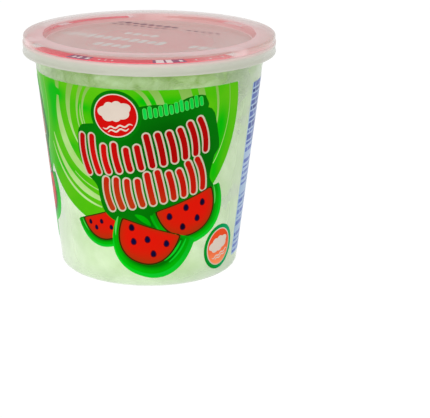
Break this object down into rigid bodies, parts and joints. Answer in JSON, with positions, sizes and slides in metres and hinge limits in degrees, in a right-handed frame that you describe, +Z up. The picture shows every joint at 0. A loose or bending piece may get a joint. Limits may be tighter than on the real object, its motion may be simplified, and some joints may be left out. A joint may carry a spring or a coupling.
{
  "type": "tub of cotton candy",
  "caption": "Round tapered see-through plastic tub of pale green cotton candy, with a press-on lid, a printed card disc under it and a plain fruit print on the wall.",
  "frame": {"origin": "middle of the foot ring's underside, on the surface that the tub stands on", "axes": "+Z up along the tub's axis, which is its shortest side; -Y is the front of the print"},
  "size_m": [0.117, 0.117, 0.11],
  "materials": {
    "spun_sugar": "pale green spun sugar, soft and fibrous",
    "frosted_plastic": "frosted see-through polypropylene, glossy outside",
    "printed_card": "crimson printed card, satin",
    "clear_plastic": "slightly milky see-through polypropylene, glossy",
    "wall_ink": "printed ink on the tub wall, satin"
  },
  "bodies": {
    "root": {"candy": "spun_sugar", "tub": "frosted_plastic", "card_disc": "printed_card", "lid": "clear_plastic"}
  },
  "joints": []
}
